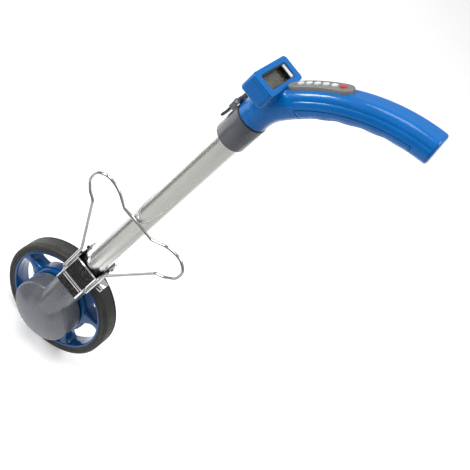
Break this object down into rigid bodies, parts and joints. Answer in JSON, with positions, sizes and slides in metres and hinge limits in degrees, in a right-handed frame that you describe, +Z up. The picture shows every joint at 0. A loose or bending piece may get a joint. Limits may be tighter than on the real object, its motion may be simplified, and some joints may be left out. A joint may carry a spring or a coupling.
{
  "type": "measuring wheel",
  "caption": "Hand-held distance measuring wheel with a telescoping tube, fold-out wire stand, display head and swept grip.",
  "frame": {"origin": "where the wheel's axle line crosses the tube's axis, inside the hub housing", "axes": "+Z up the tube towards the handle, +Y along the axle from the hub housing towards the wheel, +X the way the grip reaches out towards the user"},
  "size_m": [0.2065, 0.076, 0.6535],
  "materials": {
    "tube_metal": "satin anodised",
    "housing_grey": "satin moulded",
    "collar_grey": "satin moulded",
    "keypad_grey": "satin moulded",
    "tyre_rubber": "matte rubber",
    "wheel_blue": "gloss moulded",
    "handle_blue": "gloss moulded",
    "chrome_wire": "bright plated wire",
    "chrome_sheet": "bright plated sheet",
    "steel": "zinc plated",
    "magnet": "nickel plated",
    "black_plastic": "moulded",
    "black_rubber": "moulded",
    "lever_black": "satin black",
    "circuit_board": "solder resist",
    "cable": "satin sleeve",
    "frame_dark": "moulded",
    "window_clear": "clear gloss",
    "lcd": "liquid crystal panel, blank",
    "cell": "plain sleeve",
    "key_light": "moulded",
    "key_red": "moulded"
  },
  "bodies": {
    "frame": {"outer_tube": "tube_metal", "hub_housing": "housing_grey", "housing_lid": "housing_grey", "lid_screws": "steel", "axle": "steel", "axle_spacer": "steel", "axle_washer": "steel", "axle_nut": "steel", "sensor_board": "circuit_board", "sensor_lead": "cable", "coiled_lead": "cable", "clamp_block": "housing_grey", "stand_bracket": "chrome_sheet", "bracket_screws": "steel", "stop_pegs": "black_rubber", "stand_catch": "chrome_sheet", "tube_bush": "black_plastic", "lock_collar": "collar_grey", "brake_shoe": "black_plastic", "lever_pin": "steel"},
    "wheel": {"tyre": "tyre_rubber", "wheel_rim": "wheel_blue", "front_bearing": "steel", "rear_bearing": "steel", "sensor_magnets": "magnet", "hub_cap": "wheel_blue"},
    "stand": {"stand_wire": "chrome_wire"},
    "lever": {"lock_lever": "lever_black"},
    "handle": {"inner_tube": "tube_metal", "guide_sleeve": "black_plastic", "bumper_ring": "black_rubber", "neck_socket": "handle_blue", "left_shell": "handle_blue", "right_shell": "handle_blue", "head_shell": "handle_blue", "display_bezel": "handle_blue", "window_frame": "frame_dark", "display_window": "window_clear", "lcd_panel": "lcd", "display_board": "circuit_board", "keypad_panel": "keypad_grey", "keypad_board": "circuit_board", "battery_tray": "black_plastic", "left_battery": "cell", "right_battery": "cell", "battery_contacts": "steel", "grip_cover": "handle_blue", "cover_screw": "steel", "handle_screws": "steel", "end_cap": "handle_blue"},
    "key_1": {"key_1": "key_light"},
    "key_2": {"key_2": "key_light"},
    "key_3": {"key_3": "key_light"},
    "key_4": {"key_4": "key_light"},
    "key_5": {"key_5": "key_light"},
    "power_key": {"power_key": "key_red"}
  },
  "joints": [
    {"name": "wheel_spin", "type": "hinge", "parent": "frame", "child": "wheel", "pos_m": [0, 0.031, 0], "axis": [0, 1, 0], "continuous": true},
    {"name": "stand_swing", "type": "hinge", "parent": "frame", "child": "stand", "pos_m": [0, -0.0175, 0.106], "axis": [1, 0, 0], "range_deg": [0, 150]},
    {"name": "lever_flip", "type": "hinge", "parent": "frame", "child": "lever", "pos_m": [-0.0196, 0, 0.44], "axis": [0, 1, 0], "range_deg": [0, 100]},
    {"name": "handle_slide", "type": "slide", "parent": "frame", "child": "handle", "axis": [0, 0, 1], "range_m": [0, 0.27], "deforming": ["coiled_lead"]},
    {"name": "key_1_press", "type": "slide", "parent": "handle", "child": "key_1", "axis": [0.8202, 0, -0.5721], "range_m": [0, 0.0008], "stiffness_N_per_m": 400},
    {"name": "key_2_press", "type": "slide", "parent": "handle", "child": "key_2", "axis": [0.7957, 0, -0.6056], "range_m": [0, 0.0008], "stiffness_N_per_m": 400},
    {"name": "key_3_press", "type": "slide", "parent": "handle", "child": "key_3", "axis": [0.77, 0, -0.6381], "range_m": [0, 0.0008], "stiffness_N_per_m": 400},
    {"name": "key_4_press", "type": "slide", "parent": "handle", "child": "key_4", "axis": [0.7429, 0, -0.6694], "range_m": [0, 0.0008], "stiffness_N_per_m": 400},
    {"name": "key_5_press", "type": "slide", "parent": "handle", "child": "key_5", "axis": [0.7145, 0, -0.6996], "range_m": [0, 0.0008], "stiffness_N_per_m": 400},
    {"name": "power_key_press", "type": "slide", "parent": "handle", "child": "power_key", "axis": [0.6849, 0, -0.7286], "range_m": [0, 0.0008], "stiffness_N_per_m": 400}
  ]
}
